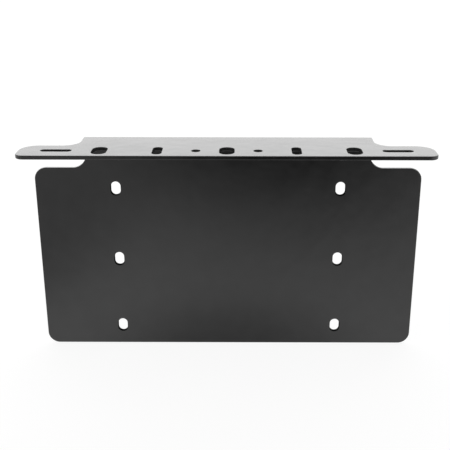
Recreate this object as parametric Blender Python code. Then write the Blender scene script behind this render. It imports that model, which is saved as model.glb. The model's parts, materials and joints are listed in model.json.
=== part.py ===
"""A lamp bracket that bolts on behind a number plate, made from one sheet of steel with one fold.

The blank is drawn flat with its notches and slots, its cut edges are rounded over, and then it is folded
along one line, in the order in which the real bracket is cut and pressed. Units are metres. X runs along
the fold, +Z is up and the front faces -Y. The origin is on the back face, amid the plate's slots.
"""

import math

import bmesh
import bpy
from mathutils import Vector

# Sheet and fold
SHEET = 0.003
FOLD_INNER_RADIUS = 0.003
NEUTRAL_SHARE = 0.43  # share of the sheet, from the inside of the fold, at the layer that keeps its length
EDGE_RADIUS = 0.0006

# Outline, seen square on to the plate and to the flange
WIDTH = 0.3048
PLATE_HEIGHT = 0.1545
NECK_HEIGHT = 0.0255
FLANGE_DEPTH = 0.0575
EAR_DEPTH = 0.028
SHOULDER_REACH = 0.0414
PLATE_CORNER_RADIUS = 0.0095
NOTCH_PLATE_RADIUS = 0.011
NOTCH_FLANGE_RADIUS = 0.012
EAR_BACK_RADIUS = 0.013
EAR_FRONT_RADIUS = 0.0065

# Plate slots, upright, on the grid that number plates are drilled to
PLATE_SLOT_WIDTH = 0.0076
PLATE_SLOT_LENGTH = 0.0111
PLATE_GRID_WIDTH = 0.1778
PLATE_GRID_HEIGHT = 0.12065

# Flange slots and holes, all centred on the middle line of the ears
FLANGE_SLOT_LENGTH = 0.0184
WIDE_SLOT_WIDTH = 0.0105
WIDE_SLOT_INSET = 0.018  # from the edge of the neck
NARROW_SLOT_WIDTH = 0.0065
NARROW_SLOT_SPACING = 0.1016
ROUND_HOLE_DIAMETER = 0.006
ROUND_HOLE_SPACING = 0.0454
EAR_SLOT_WIDTH = 0.005
EAR_SLOT_LENGTH = 0.022
EAR_SLOT_INSET = 0.0278  # from the end of the ear

# Facets
CORNER_STEPS = 6
EDGE_STEPS = 2
FOLD_STEPS = 8
SMOOTH_BELOW = math.radians(50)
SAME_POINT = 1e-6

# The coat
COAT_COLOUR = (0.008, 0.008, 0.008, 1.0)
COAT_ROUGHNESS = 0.32

# Sizes that follow from those above
RIGHT_ANGLE = math.radians(90)
HALF_WIDTH = WIDTH / 2
HALF_NECK = HALF_WIDTH - SHOULDER_REACH
SHOULDER_Z = PLATE_HEIGHT / 2
TOP_Z = SHOULDER_Z + NECK_HEIGHT
FOLD_OUTER_RADIUS = FOLD_INNER_RADIUS + SHEET
FOLD_START = TOP_Z - FOLD_OUTER_RADIUS
FOLD_LENGTH = RIGHT_ANGLE * (FOLD_INNER_RADIUS + NEUTRAL_SHARE * SHEET)
EAR_BACK = FLANGE_DEPTH - EAR_DEPTH
EAR_MIDDLE = FLANGE_DEPTH - EAR_DEPTH / 2


def along_blank(depth):
    """Place on the flat blank of a line on the flange that lies this far in front of the back face."""
    return FOLD_START + FOLD_LENGTH + depth - FOLD_OUTER_RADIUS


def blank_corners():
    """Square corners of the blank, anticlockwise, each a point with the radius that rounds it."""
    ear_back = along_blank(EAR_BACK)
    right_side = [
        (HALF_WIDTH, -SHOULDER_Z, PLATE_CORNER_RADIUS),
        (HALF_WIDTH, SHOULDER_Z, PLATE_CORNER_RADIUS),
        (HALF_NECK, SHOULDER_Z, NOTCH_PLATE_RADIUS),
        (HALF_NECK, ear_back, NOTCH_FLANGE_RADIUS),
        (HALF_WIDTH, ear_back, EAR_BACK_RADIUS),
        (HALF_WIDTH, along_blank(FLANGE_DEPTH), EAR_FRONT_RADIUS),
    ]
    left_side = [(-x, place, radius) for x, place, radius in reversed(right_side)]
    return [(Vector((x, place)), radius) for x, place, radius in right_side + left_side]


def slot_corners(x, place, width, length):
    """Square corners of a slot with round ends, clockwise; width runs along X and length along the blank."""
    radius = min(width, length) / 2
    signs = [(-1, -1), (-1, 1), (1, 1), (1, -1)]
    return [(Vector((x + i * width / 2, place + j * length / 2)), radius) for i, j in signs]


def plate_slots():
    """The upright slots of the plate, in two columns of three."""
    slots = []
    for column in (-0.5, 0.5):
        for row in (-0.5, 0, 0.5):
            x = column * PLATE_GRID_WIDTH
            place = row * PLATE_GRID_HEIGHT
            slots.append(slot_corners(x, place, PLATE_SLOT_WIDTH, PLATE_SLOT_LENGTH))
    return slots


def flange_slots():
    """The row of slots and holes along the flange: a wide slot in the middle, and pairs to either side."""
    place = along_blank(EAR_MIDDLE)
    pairs = [
        (ROUND_HOLE_SPACING / 2, ROUND_HOLE_DIAMETER, ROUND_HOLE_DIAMETER),
        (NARROW_SLOT_SPACING / 2, NARROW_SLOT_WIDTH, FLANGE_SLOT_LENGTH),
        (HALF_NECK - WIDE_SLOT_INSET, WIDE_SLOT_WIDTH, FLANGE_SLOT_LENGTH),
        (HALF_WIDTH - EAR_SLOT_INSET, EAR_SLOT_LENGTH, EAR_SLOT_WIDTH),
    ]
    slots = [slot_corners(0, place, WIDE_SLOT_WIDTH, FLANGE_SLOT_LENGTH)]
    for x, width, length in pairs:
        slots += [slot_corners(side * x, place, width, length) for side in (-1, 1)]
    return slots


def rounded_loop(corners, inset):
    """Points round a loop of square corners that has metal on its left, with the metal cut back by inset."""
    points = []
    for index, (corner, radius) in enumerate(corners):
        inward = (corner - corners[index - 1][0]).normalized()
        outward = (corners[(index + 1) % len(corners)][0] - corner).normalized()
        turn = inward.cross(outward)
        moved = corner + inset * turn * (outward - inward)
        reach = radius - inset * turn
        centre = moved + reach * (outward - inward)
        for step in range(CORNER_STEPS + 1):
            angle = RIGHT_ANGLE * step / CORNER_STEPS
            points.append(centre + reach * (inward * math.sin(angle) - outward * math.cos(angle)))
    return [point for i, point in enumerate(points) if (point - points[i - 1]).length > SAME_POINT]


def edge_profile():
    """Pairs of cut-back and depth below the outer skin that round over both arrises of a cut edge."""
    profile = []
    for step in range(EDGE_STEPS + 1):
        angle = RIGHT_ANGLE * step / EDGE_STEPS
        profile.append((EDGE_RADIUS * (1 - math.sin(angle)), EDGE_RADIUS * (1 - math.cos(angle))))
    return profile + [(inset, SHEET - depth) for inset, depth in reversed(profile)]


def add_ring(blank, points, depth):
    """A closed ring of vertices at one depth in the sheet."""
    return [blank.verts.new((point.x, point.y, depth)) for point in points]


def add_wall(blank, corners):
    """The cut edge along one loop, as rings of quads. Returns the edges that border the two skins."""
    rings = [add_ring(blank, rounded_loop(corners, inset), depth) for inset, depth in edge_profile()]
    size = len(rings[0])
    for upper, lower in zip(rings, rings[1:]):
        for i in range(size):
            j = (i + 1) % size
            blank.faces.new((upper[i], upper[j], lower[j], lower[i]))
    borders = []
    for ring in (rings[0], rings[-1]):
        borders.append([blank.edges.get((ring[i - 1], ring[i])) for i in range(size)])
    return borders


def flat_blank():
    """The sheet before folding: X across, Y along the blank, and Z the depth below the outer skin."""
    blank = bmesh.new()
    outer_border = []
    inner_border = []
    for corners in [blank_corners()] + plate_slots() + flange_slots():
        outer, inner = add_wall(blank, corners)
        outer_border += outer
        inner_border += inner
    for border in (outer_border, inner_border):
        bmesh.ops.triangle_fill(blank, use_beauty=True, edges=border)
    return blank


def folded(point):
    """Where a point of the flat blank lies once the blank is folded."""
    x, place, depth = point
    past_start = place - FOLD_START
    angle = RIGHT_ANGLE * min(max(past_start / FOLD_LENGTH, 0), 1)
    below = min(past_start, 0)
    beyond = max(past_start - FOLD_LENGTH, 0)
    radius = FOLD_OUTER_RADIUS - depth
    y = radius * math.cos(angle) - FOLD_OUTER_RADIUS - beyond
    z = radius * math.sin(angle) + FOLD_START + below
    return Vector((x, y, z))


def fold(blank):
    """Cuts facet lines across the fold zone and wraps the blank round the fold."""
    for step in range(FOLD_STEPS + 1):
        line = (0, FOLD_START + FOLD_LENGTH * step / FOLD_STEPS, 0)
        geometry = blank.verts[:] + blank.edges[:] + blank.faces[:]
        bmesh.ops.bisect_plane(blank, geom=geometry, dist=SAME_POINT, plane_co=line, plane_no=(0, 1, 0))
    for vertex in blank.verts:
        vertex.co = folded(vertex.co)
    bmesh.ops.recalc_face_normals(blank, faces=blank.faces[:])


def black_coat():
    """Satin black powder coat."""
    material = bpy.data.materials.new("black_coat")
    material.use_nodes = True
    shader = material.node_tree.nodes["Principled BSDF"]
    shader.inputs["Base Color"].default_value = COAT_COLOUR
    shader.inputs["Roughness"].default_value = COAT_ROUGHNESS
    shader.inputs["Metallic"].default_value = 0.0
    return material


def add_bracket():
    """The folded bracket as one object."""
    blank = flat_blank()
    fold(blank)
    mesh = bpy.data.meshes.new("bracket")
    blank.to_mesh(mesh)
    blank.free()
    mesh.shade_smooth()
    mesh.set_sharp_from_angle(angle=SMOOTH_BELOW)
    mesh.materials.append(black_coat())
    bracket = bpy.data.objects.new("bracket", mesh)
    bpy.context.scene.collection.objects.link(bracket)


for old_object in list(bpy.data.objects):
    bpy.data.objects.remove(old_object)
add_bracket()
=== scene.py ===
"""The lamp bracket's looks: a finely rounded folded sheet in satin black powder coat, in soft studio light.

Metres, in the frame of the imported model: X along the fold, +Z up, and the front faces -Y.
"""

import json
import math

import bmesh
import bpy
from mathutils import Matrix, Vector


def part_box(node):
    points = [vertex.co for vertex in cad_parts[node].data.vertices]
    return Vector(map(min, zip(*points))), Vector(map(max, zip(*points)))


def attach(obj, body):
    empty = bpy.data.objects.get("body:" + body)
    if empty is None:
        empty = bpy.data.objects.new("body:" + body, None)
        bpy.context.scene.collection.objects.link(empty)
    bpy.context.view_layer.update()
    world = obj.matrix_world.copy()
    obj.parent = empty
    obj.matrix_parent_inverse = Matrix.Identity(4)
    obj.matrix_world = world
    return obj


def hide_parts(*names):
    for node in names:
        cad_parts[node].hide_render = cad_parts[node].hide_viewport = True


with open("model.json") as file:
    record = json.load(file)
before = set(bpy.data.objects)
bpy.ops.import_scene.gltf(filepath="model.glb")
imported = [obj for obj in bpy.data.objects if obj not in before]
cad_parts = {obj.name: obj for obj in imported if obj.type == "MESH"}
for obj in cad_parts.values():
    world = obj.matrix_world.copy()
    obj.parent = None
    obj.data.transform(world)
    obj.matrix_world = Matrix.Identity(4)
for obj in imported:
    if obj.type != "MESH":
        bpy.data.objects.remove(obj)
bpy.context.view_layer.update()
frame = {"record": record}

# The sheet, from the frame where the frame shows it
BOX_LOW, BOX_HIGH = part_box("bracket")
HALF_WIDTH = BOX_HIGH.x
TOP_Z = BOX_HIGH.z
BOTTOM_Z = BOX_LOW.z
FLANGE_DEPTH = -BOX_LOW.y
SHOULDER_Z = -BOTTOM_Z
SHEET = 0.003
FOLD_INNER_RADIUS = 0.003
EDGE_RADIUS = 0.0006
EAR_DEPTH = 0.028
SHOULDER_REACH = 0.0414
PLATE_CORNER_RADIUS = 0.0095
NOTCH_PLATE_RADIUS = 0.011
NOTCH_FLANGE_RADIUS = 0.012
EAR_BACK_RADIUS = 0.013
EAR_FRONT_RADIUS = 0.0065

# Slots by kind: size along X, and size along the sheet
SLOT_SIZES = {
    "plate_slot": (0.0076, 0.0111),
    "flange_wide_slot": (0.0105, 0.0184),
    "flange_narrow_slot": (0.0065, 0.0184),
    "flange_round_hole": (0.006, 0.006),
    "ear_slot": (0.022, 0.005),
}

# Sizes that follow from those above
RIGHT_ANGLE = math.radians(90)
HALF_NECK = HALF_WIDTH - SHOULDER_REACH
FOLD_OUTER_RADIUS = FOLD_INNER_RADIUS + SHEET
FOLD_START = TOP_Z - FOLD_OUTER_RADIUS
FOLD_LENGTH = RIGHT_ANGLE * (FOLD_INNER_RADIUS + SHEET / 2)

# Fineness of the mesh
CORNER_STEPS = 16
EDGE_STEPS = 5
FOLD_STEPS = 24
SKIN_MARGIN = 0.0012  # width of the strip of skin beside an arris
SAME_POINT = 1e-6
ARRIS = "arris"  # the mesh's layer that is 1 along the crest of each arris

# Bands of a cut edge, counted from the outer skin: a strip of skin, an arris, the flat, an arris and a strip
FIRST_WALL_BAND = 2
FLAT_BAND = EDGE_STEPS + 1
LAST_ARRIS_BAND = 2 * EDGE_STEPS + 1

# Material slots of the mesh, and kinds of cut edge: the slot of the wall, and the bands that are wall, which
# carry the painted shade of the slots
COAT_SLOT = 0
PLATE_WALL_SLOT = 1
FLANGE_WALL_SLOT = 2
OPEN_EDGE = (COAT_SLOT, range(0))
PLATE_SLOT_EDGE = (PLATE_WALL_SLOT, range(FIRST_WALL_BAND, LAST_ARRIS_BAND))
FLANGE_SLOT_EDGE = (FLANGE_WALL_SLOT, range(FIRST_WALL_BAND, FLAT_BAND + 1))

# Colours of the coat, and of the speckled walls of the slots, whose colours are painted shade
COAT_BLACK = (0.001, 0.001, 0.001, 1.0)
COAT_GREY = (0.012, 0.012, 0.012, 1.0)
# The arris crests are lighter: partly a thinner coat, partly a painted highlight
COAT_THIN_AND_HIGHLIT = (0.020, 0.020, 0.019, 1.0)
PLATE_WALL_PAINTED_SHADE = ((0.002, 0.002, 0.002, 1.0), (0.005, 0.005, 0.005, 1.0))
FLANGE_WALL_PAINTED_SHADE = ((0.022, 0.022, 0.022, 1.0), (0.045, 0.045, 0.045, 1.0))

# Finish of the coat and of the walls, with ranges as pairs
COAT_IOR = 1.62
COAT_ROUGHNESS = (0.20, 0.23)
MOTTLE_ROUGHNESS = (0.0, 0.03)  # on top of the coat's
# How much the arris crests lighten: partly a thinner coat, partly a painted highlight
THIN_AND_HIGHLIT_EDGE = (0.1, 0.9)  # along the crest of an arris
WALL_SHINE = 0.0
WALL_ROUGHNESS = (0.6, 0.7)

# Blotches of the coat and of the walls: how large they are, and how many finer layers they have
CLOUD = (0.045, 3)
MOTTLE = (0.012, 3)
PEEL = (0.0018, 1)
GRAIN = (0.0003, 1)
SPECKLE = (0.0018, 2)
NOISE_ROUGHNESS = 0.55
NOISE_SPAN = (0.3, 0.7)  # where most values of a noise lie

# Relief of the blotches: strength and height
CLOUD_RELIEF = (1.0, 0.0004)
MOTTLE_RELIEF = (0.15, 0.0001)
PEEL_RELIEF = (0.1, 0.00004)
GRAIN_RELIEF = (0.06, 0.00002)

# The floor: the grey that takes the shadows, the white that the camera sees added to it, near by and far
# away, and the distances between which that changes
FLOOR_CENTRE = Vector((0, 0, BOTTOM_Z))
FLOOR_RADIUS = 4.0
FLOOR_SEGMENTS = 96
FLOOR_GREY = (0.2, 0.2, 0.2, 1.0)
FLOOR_WHITE = (0.86, 1.0)
FLOOR_FADE = (0.5, 2.0)

# Painted shade on the floor, seen only in mirrored light: spots where the floor dims, with place, how much
# narrower than long the spot is, the reach over which it fades out, and what is left in its middle
PAINTED_SHADE_SPOTS = [
    (Vector((0.08, -1.10, BOTTOM_Z)), 2.5, (0.39, 1.12), 0.0),
    (Vector((0.10, -2.60, BOTTOM_Z)), 1.0, (1.60, 1.95), 0.0),
    (Vector((-0.47, -0.29, BOTTOM_Z)), 1.0, (0.28, 0.40), 0.6),
    (Vector((0.005, 0.01, BOTTOM_Z)), 1.0, (0.018, 0.144), 0.55),
]

# The studio: its strength as a lamp and as the camera sees it, and what mirrored rays meet. That goes from
# dim to white as a ray turns to the far side, along Y, and from dim to the ceiling as it climbs, along Z.
WHITE = (1.0, 1.0, 1.0, 1.0)
WORLD_LIGHT = 0.5
WORLD_WHITE = 1.0
WORLD_DIM = 0.03
WORLD_TURN = (-0.85, 0.1)
WORLD_CEILING = 0.7
WORLD_CLIMB = (0.1, 0.5)

# Soft lamps: name, place, the point that it faces, size, and radiance
SOFTBOXES = [
    ("back_softbox", (0, 1.5, 0.70), (0, 0, 0.1), (3.2, 1.1), 1.43),
    ("left_softbox", (-1.1, -0.25, 0.75), (0, 0, 0), (0.7, 0.7), 2.0),
    ("right_softbox", (1.1, -0.25, 0.75), (0, 0, 0), (0.7, 0.7), 1.5),
]

# The camera; the pinhole's distance and the shift are in pixels of the photograph's frame
CAMERA_PLACE = Vector((0.01169, -0.63600, 0.27087))
CAMERA_PITCH = math.radians(20.870)
CAMERA_YAW = math.radians(-0.130)
CAMERA_ROLL = math.radians(-0.080)
FRAME_PIXELS = 450
PINHOLE_PIXELS = 842.63
CENTRE_SHIFT_PIXELS = 16
SENSOR_MM = 36.0
CLIP_START = 0.01


def along_blank(depth):
    """Place on the flat blank of a line on the flange that lies this far in front of the back face."""
    return FOLD_START + FOLD_LENGTH + depth - FOLD_OUTER_RADIUS


def blank_corners():
    """Square corners of the blank, anticlockwise, each a point with the radius that rounds it."""
    ear_back = along_blank(FLANGE_DEPTH - EAR_DEPTH)
    right_side = [
        (HALF_WIDTH, BOTTOM_Z, PLATE_CORNER_RADIUS),
        (HALF_WIDTH, SHOULDER_Z, PLATE_CORNER_RADIUS),
        (HALF_NECK, SHOULDER_Z, NOTCH_PLATE_RADIUS),
        (HALF_NECK, ear_back, NOTCH_FLANGE_RADIUS),
        (HALF_WIDTH, ear_back, EAR_BACK_RADIUS),
        (HALF_WIDTH, along_blank(FLANGE_DEPTH), EAR_FRONT_RADIUS),
    ]
    left_side = [(-x, place, radius) for x, place, radius in reversed(right_side)]
    return [(Vector((x, place)), radius) for x, place, radius in right_side + left_side]


def slot_corners(x, place, width, length):
    """Square corners of a slot with round ends, clockwise; width runs along X and length along the blank."""
    radius = min(width, length) / 2
    signs = [(-1, -1), (-1, 1), (1, 1), (1, -1)]
    return [(Vector((x + i * width / 2, place + j * length / 2)), radius) for i, j in signs]


def slots():
    """Corners and kind of edge of every slot and hole, centred in the openings that the record states."""
    found = []
    for opening in frame["record"]["physics"]["openings"]:
        low, high = opening["box_m"]
        x, y, z = ((a + b) / 2 for a, b in zip(low, high))
        for kind, (width, length) in SLOT_SIZES.items():
            if opening["name"].startswith(kind):
                on_plate = kind == "plate_slot"
                corners = slot_corners(x, z if on_plate else along_blank(-y), width, length)
                found.append((corners, PLATE_SLOT_EDGE if on_plate else FLANGE_SLOT_EDGE))
    return found


def rounded_loop(corners, inset):
    """Points round a loop of square corners that has metal on its left, with the metal cut back by inset."""
    points = []
    for index, (corner, radius) in enumerate(corners):
        inward = (corner - corners[index - 1][0]).normalized()
        outward = (corners[(index + 1) % len(corners)][0] - corner).normalized()
        turn = inward.cross(outward)
        moved = corner + inset * turn * (outward - inward)
        reach = radius - inset * turn
        centre = moved + reach * (outward - inward)
        for step in range(CORNER_STEPS + 1):
            angle = RIGHT_ANGLE * step / CORNER_STEPS
            points.append(centre + reach * (inward * math.sin(angle) - outward * math.cos(angle)))
    return [point for i, point in enumerate(points) if (point - points[i - 1]).length > SAME_POINT]


def edge_profile():
    """Rows of cut-back, depth and arris crest, from a strip of the outer skin to one of the inner skin."""
    profile = [(EDGE_RADIUS + SKIN_MARGIN, 0.0, 0.0)]
    for step in range(EDGE_STEPS + 1):
        angle = RIGHT_ANGLE * step / EDGE_STEPS
        inset = EDGE_RADIUS * (1 - math.sin(angle))
        depth = EDGE_RADIUS * (1 - math.cos(angle))
        profile.append((inset, depth, math.sin(2 * angle)))
    return profile + [(inset, SHEET - depth, crest) for inset, depth, crest in reversed(profile)]


def add_wall(blank, corners, edge):
    """The cut edge along one loop, as rings of quads. Returns the edges that border the two skins."""
    arris = blank.verts.layers.float[ARRIS]
    wall_slot, wall_bands = edge
    rings = []
    for inset, depth, crest in edge_profile():
        points = rounded_loop(corners, inset)
        rings.append([blank.verts.new((point.x, point.y, depth)) for point in points])
        for vertex in rings[-1]:
            vertex[arris] = crest
    size = len(rings[0])
    for band, (upper, lower) in enumerate(zip(rings, rings[1:])):
        for i in range(size):
            face = blank.faces.new((upper[i - 1], upper[i], lower[i], lower[i - 1]))
            face.material_index = wall_slot if band in wall_bands else COAT_SLOT
    return [[blank.edges.get((ring[i - 1], ring[i])) for i in range(size)] for ring in (rings[0], rings[-1])]


def folded(point):
    """Where a point of the flat blank lies once the blank is folded."""
    x, place, depth = point
    past_start = place - FOLD_START
    angle = RIGHT_ANGLE * min(max(past_start / FOLD_LENGTH, 0), 1)
    radius = FOLD_OUTER_RADIUS - depth
    y = radius * math.cos(angle) - FOLD_OUTER_RADIUS - max(past_start - FOLD_LENGTH, 0)
    z = radius * math.sin(angle) + FOLD_START + min(past_start, 0)
    return Vector((x, y, z))


def sheet_mesh():
    """The folded sheet with its slots and rounded edges."""
    blank = bmesh.new()
    blank.verts.layers.float.new(ARRIS)
    borders = ([], [])
    for corners, edge in [(blank_corners(), OPEN_EDGE)] + slots():
        for border, edges in zip(borders, add_wall(blank, corners, edge)):
            border.extend(edges)
    for border in borders:
        bmesh.ops.triangle_fill(blank, use_beauty=True, edges=border)
    for step in range(FOLD_STEPS + 1):
        line = (0, FOLD_START + FOLD_LENGTH * step / FOLD_STEPS, 0)
        geometry = blank.verts[:] + blank.edges[:] + blank.faces[:]
        bmesh.ops.bisect_plane(blank, geom=geometry, dist=SAME_POINT, plane_co=line, plane_no=(0, 1, 0))
    for vertex in blank.verts:
        vertex.co = folded(vertex.co)
    bmesh.ops.recalc_face_normals(blank, faces=blank.faces[:])
    mesh = bpy.data.meshes.new("bracket_sheet")
    blank.to_mesh(mesh)
    blank.free()
    mesh.shade_smooth()
    return mesh


def add_node(tree, kind, **values):
    """A shader node with some of its input sockets set by name."""
    node = tree.nodes.new(kind)
    for name, value in values.items():
        node.inputs[name.replace("_", " ")].default_value = value
    return node


def add_noise(tree, place, size, detail):
    """Noise whose blotches are about this many metres across."""
    noise = add_node(tree, "ShaderNodeTexNoise", Scale=1 / size, Detail=detail, Roughness=NOISE_ROUGHNESS)
    tree.links.new(place.outputs["Object"], noise.inputs["Vector"])
    return noise.outputs["Fac"]


def add_range(tree, value, low, high):
    """The middle of a noise's span stretched to run from low to high."""
    start, end = NOISE_SPAN
    spread = add_node(tree, "ShaderNodeMapRange", From_Min=start, From_Max=end, To_Min=low, To_Max=high)
    tree.links.new(value, spread.inputs["Value"])
    return spread.outputs["Result"]


def add_slope(tree, value, reach, low, high):
    """A smooth climb from low to high while the value goes through its reach."""
    start, end = reach
    slope = add_node(tree, "ShaderNodeMapRange", From_Min=start, From_Max=end, To_Min=low, To_Max=high)
    slope.interpolation_type = "SMOOTHSTEP"
    tree.links.new(value, slope.inputs["Value"])
    return slope.outputs["Result"]


def add_math(tree, operation, first, second):
    """The result of an operation on two sockets."""
    node = tree.nodes.new("ShaderNodeMath")
    node.operation = operation
    tree.links.new(first, node.inputs[0])
    tree.links.new(second, node.inputs[1])
    return node.outputs["Value"]


def add_tint(tree, amount, first, second):
    """A mix that goes from the first colour to the second as the amount goes from 0 to 1."""
    tint = tree.nodes.new("ShaderNodeMix")
    tint.data_type = "RGBA"
    tint.inputs["A"].default_value = first
    tint.inputs["B"].default_value = second
    tree.links.new(amount, tint.inputs["Factor"])
    return tint


def add_relief(tree, shader, layers):
    """Bumps on the shader, from layers of a height with its strength and size."""
    normal = None
    for height, (strength, size) in layers:
        bump = add_node(tree, "ShaderNodeBump", Strength=strength, Distance=size)
        tree.links.new(height, bump.inputs["Height"])
        if normal:
            tree.links.new(normal, bump.inputs["Normal"])
        normal = bump.outputs["Normal"]
    tree.links.new(normal, shader.inputs["Normal"])


def mix_shaders(tree, amount, first, second):
    """The first shader where the amount is 0, and the second where it is 1."""
    mix = tree.nodes.new("ShaderNodeMixShader")
    tree.links.new(amount, mix.inputs["Fac"])
    tree.links.new(first.outputs[0], mix.inputs[1])
    tree.links.new(second.outputs[0], mix.inputs[2])
    return mix


def powder_coat():
    """Satin black powder coat: mottled, with orange peel and a fine grain, and lighter along its arrises,
    partly as a thinner coat and partly as a painted highlight.
    """
    material = bpy.data.materials.new("satin_black_powder_coat")
    material.use_nodes = True
    tree = material.node_tree
    shader = tree.nodes["Principled BSDF"]
    shader.inputs["IOR"].default_value = COAT_IOR
    place = tree.nodes.new("ShaderNodeTexCoord")
    cloud = add_noise(tree, place, *CLOUD)
    mottle = add_noise(tree, place, *MOTTLE)
    peel = add_noise(tree, place, *PEEL)
    grain = add_noise(tree, place, *GRAIN)

    arris = tree.nodes.new("ShaderNodeAttribute")
    arris.attribute_name = ARRIS
    # Lighter along the arris crests: partly a thinner coat, partly a painted highlight
    thin_and_highlit_edge = add_math(tree, "MULTIPLY", arris.outputs["Fac"], add_range(tree, peel, *THIN_AND_HIGHLIT_EDGE))
    coat = add_tint(tree, add_range(tree, mottle, 0, 1), COAT_BLACK, COAT_GREY)
    thin_and_highlit_tint = add_tint(tree, thin_and_highlit_edge, COAT_GREY, COAT_THIN_AND_HIGHLIT)
    tree.links.new(coat.outputs["Result"], thin_and_highlit_tint.inputs["A"])
    tree.links.new(thin_and_highlit_tint.outputs["Result"], shader.inputs["Base Color"])

    sheen = add_range(tree, cloud, *COAT_ROUGHNESS)
    mottled_sheen = add_math(tree, "ADD", sheen, add_range(tree, mottle, *MOTTLE_ROUGHNESS))
    tree.links.new(mottled_sheen, shader.inputs["Roughness"])
    add_relief(tree, shader, [
        (cloud, CLOUD_RELIEF),
        (mottle, MOTTLE_RELIEF),
        (peel, PEEL_RELIEF),
        (grain, GRAIN_RELIEF),
    ])
    return material


def painted_shade_wall_coat(name, colours):
    """A matt coat for the walls of the slots, speckled with two colours, whose tones are painted shade
    inside the slots.
    """
    material = bpy.data.materials.new(name)
    material.use_nodes = True
    tree = material.node_tree
    shader = tree.nodes["Principled BSDF"]
    shader.inputs["Specular IOR Level"].default_value = WALL_SHINE
    place = tree.nodes.new("ShaderNodeTexCoord")
    speckle = add_noise(tree, place, *SPECKLE)
    coat = add_tint(tree, add_range(tree, speckle, 0, 1), *colours)
    tree.links.new(coat.outputs["Result"], shader.inputs["Base Color"])
    tree.links.new(add_range(tree, speckle, *WALL_ROUGHNESS), shader.inputs["Roughness"])
    add_relief(tree, shader, [(speckle, PEEL_RELIEF)])
    return material


def add_bracket():
    """The folded sheet in its coats, in place of the plain model."""
    bracket = bpy.data.objects.new("bracket_sheet", sheet_mesh())
    bpy.context.scene.collection.objects.link(bracket)
    bracket.data.materials.append(powder_coat())
    # The walls of the slots get matt coats whose colours are painted shade
    bracket.data.materials.append(painted_shade_wall_coat("plate_slot_painted_shade", PLATE_WALL_PAINTED_SHADE))
    bracket.data.materials.append(painted_shade_wall_coat("flange_slot_painted_shade", FLANGE_WALL_PAINTED_SHADE))
    even_shading = bracket.modifiers.new("even_shading", "WEIGHTED_NORMAL")
    even_shading.mode = "FACE_AREA"
    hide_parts("bracket")
    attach(bracket, "root")


def is_mirrored(tree, path):
    """1 for a ray that comes off or through something else."""
    return add_math(tree, "MAXIMUM", path.outputs["Is Glossy Ray"], path.outputs["Is Transmission Ray"])


def add_ray_choice(tree, as_lamp, mirrored, seen):
    """A strength by kind of ray: as a lamp, for mirrored rays, and as the camera sees it."""
    path = tree.nodes.new("ShaderNodeLightPath")
    inner = add_node(tree, "ShaderNodeMapRange", To_Min=as_lamp)
    tree.links.new(is_mirrored(tree, path), inner.inputs["Value"])
    tree.links.new(mirrored, inner.inputs["To Max"])
    outer = add_node(tree, "ShaderNodeMapRange", To_Max=seen)
    tree.links.new(path.outputs["Is Camera Ray"], outer.inputs["Value"])
    tree.links.new(inner.outputs["Result"], outer.inputs["To Min"])
    return outer.outputs["Result"]


def add_distance(tree, centre, narrowing=1.0):
    """How far from this place a point of the surface is, when steps along X count this many times over."""
    place = tree.nodes.new("ShaderNodeNewGeometry")
    stretched = tree.nodes.new("ShaderNodeVectorMath")
    stretched.operation = "MULTIPLY"
    stretched.inputs[1].default_value = (narrowing, 1, 1)
    tree.links.new(place.outputs["Position"], stretched.inputs[0])
    away = tree.nodes.new("ShaderNodeVectorMath")
    away.operation = "DISTANCE"
    away.inputs[1].default_value = (centre.x * narrowing, centre.y, centre.z)
    tree.links.new(stretched.outputs["Vector"], away.inputs[0])
    return away.outputs["Value"]


def mirrored_floor(tree):
    """White round the bracket, with spots of painted shade where the camera stands and to the left, and a
    painted shadow under the bracket.
    """
    white = None
    for centre, narrowing, reach, left in PAINTED_SHADE_SPOTS:
        slope = add_slope(tree, add_distance(tree, centre, narrowing), reach, left, 1.0)
        white = add_math(tree, "MULTIPLY", white, slope) if white else slope
    return white


def floor_material():
    """A pale floor that looks white and keeps the shadows. From below it isn't there."""
    material = bpy.data.materials.new("pale_floor")
    material.use_nodes = True
    tree = material.node_tree
    tree.nodes.remove(tree.nodes["Principled BSDF"])
    path = tree.nodes.new("ShaderNodeLightPath")
    matt = add_node(tree, "ShaderNodeBsdfDiffuse", Color=FLOOR_GREY)
    fill = tree.nodes.new("ShaderNodeEmission")
    white = add_slope(tree, add_distance(tree, FLOOR_CENTRE), FLOOR_FADE, *FLOOR_WHITE)
    seen_white = add_math(tree, "MULTIPLY", path.outputs["Is Camera Ray"], white)
    tree.links.new(seen_white, fill.inputs["Strength"])
    seen = tree.nodes.new("ShaderNodeAddShader")
    tree.links.new(matt.outputs["BSDF"], seen.inputs[0])
    tree.links.new(fill.outputs["Emission"], seen.inputs[1])
    mirror = tree.nodes.new("ShaderNodeEmission")
    # In mirrored light the floor is emission only, dimmed by its spots of painted shade
    tree.links.new(mirrored_floor(tree), mirror.inputs["Strength"])
    from_above = mix_shaders(tree, is_mirrored(tree, path), seen, mirror)
    side = tree.nodes.new("ShaderNodeNewGeometry")
    clear = tree.nodes.new("ShaderNodeBsdfTransparent")
    one_sided = mix_shaders(tree, side.outputs["Backfacing"], from_above, clear)
    tree.links.new(one_sided.outputs["Shader"], tree.nodes["Material Output"].inputs["Surface"])
    return material


def add_floor():
    """A wide round floor under the lower edge of the plate."""
    disc = bmesh.new()
    bmesh.ops.create_circle(disc, cap_ends=True, radius=FLOOR_RADIUS, segments=FLOOR_SEGMENTS)
    mesh = bpy.data.meshes.new("floor")
    disc.to_mesh(mesh)
    disc.free()
    mesh.materials.append(floor_material())
    floor = bpy.data.objects.new("floor", mesh)
    floor.location = FLOOR_CENTRE
    bpy.context.scene.collection.objects.link(floor)


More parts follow.
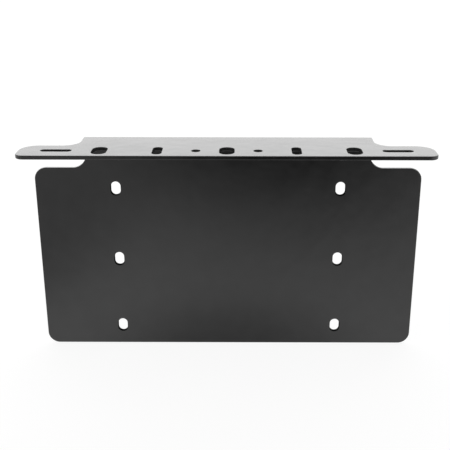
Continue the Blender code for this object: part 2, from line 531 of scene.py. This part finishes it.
def add_world():
    """A white studio, dim low down on the camera's side in mirrored light."""
    world = bpy.data.worlds.new("studio")
    world.use_nodes = True
    tree = world.node_tree
    back = tree.nodes["Background"]
    way = tree.nodes.new("ShaderNodeTexCoord")
    split = tree.nodes.new("ShaderNodeSeparateXYZ")
    tree.links.new(way.outputs["Generated"], split.inputs["Vector"])
    far_side = add_slope(tree, split.outputs["Y"], WORLD_TURN, WORLD_DIM, WORLD_WHITE)
    ceiling = add_slope(tree, split.outputs["Z"], WORLD_CLIMB, WORLD_DIM, WORLD_CEILING)
    mirrored = add_math(tree, "MAXIMUM", far_side, ceiling)
    tree.links.new(add_ray_choice(tree, WORLD_LIGHT, mirrored, WORLD_WHITE), back.inputs["Strength"])
    back.inputs["Color"].default_value = WHITE
    bpy.context.scene.world = world


def add_softbox(name, centre, target, size, radiance):
    """A rectangular soft lamp facing its target, as bright all over as a surface of that radiance."""
    lamp = bpy.data.lights.new(name, "AREA")
    lamp.shape = "RECTANGLE"
    lamp.size, lamp.size_y = size
    lamp.energy = radiance * math.pi * lamp.size * lamp.size_y
    holder = bpy.data.objects.new(name, lamp)
    holder.location = centre
    holder.rotation_euler = (Vector(target) - Vector(centre)).to_track_quat("-Z", "Y").to_euler()
    holder.visible_camera = False
    bpy.context.scene.collection.objects.link(holder)


def add_camera():
    """The camera at the photograph's viewing angle."""
    lens = bpy.data.cameras.new("camera")
    lens.sensor_width = SENSOR_MM
    lens.lens = PINHOLE_PIXELS / FRAME_PIXELS * SENSOR_MM
    lens.shift_x = -CENTRE_SHIFT_PIXELS / FRAME_PIXELS
    lens.clip_start = CLIP_START
    forward = Vector((
        math.sin(CAMERA_YAW) * math.cos(CAMERA_PITCH),
        math.cos(CAMERA_YAW) * math.cos(CAMERA_PITCH),
        -math.sin(CAMERA_PITCH),
    ))
    level = Vector((math.cos(CAMERA_YAW), -math.sin(CAMERA_YAW), 0))
    down = forward.cross(level)
    right = math.cos(CAMERA_ROLL) * level + math.sin(CAMERA_ROLL) * down
    up = math.sin(CAMERA_ROLL) * level - math.cos(CAMERA_ROLL) * down
    turn = Matrix((right, up, -forward)).transposed()
    camera = bpy.data.objects.new("camera", lens)
    camera.matrix_world = Matrix.Translation(CAMERA_PLACE) @ turn.to_4x4()
    bpy.context.scene.collection.objects.link(camera)
    bpy.context.scene.camera = camera


add_bracket()
add_floor()
add_world()
for softbox in SOFTBOXES:
    add_softbox(*softbox)
add_camera()
bpy.context.scene.view_settings.view_transform = "Standard"
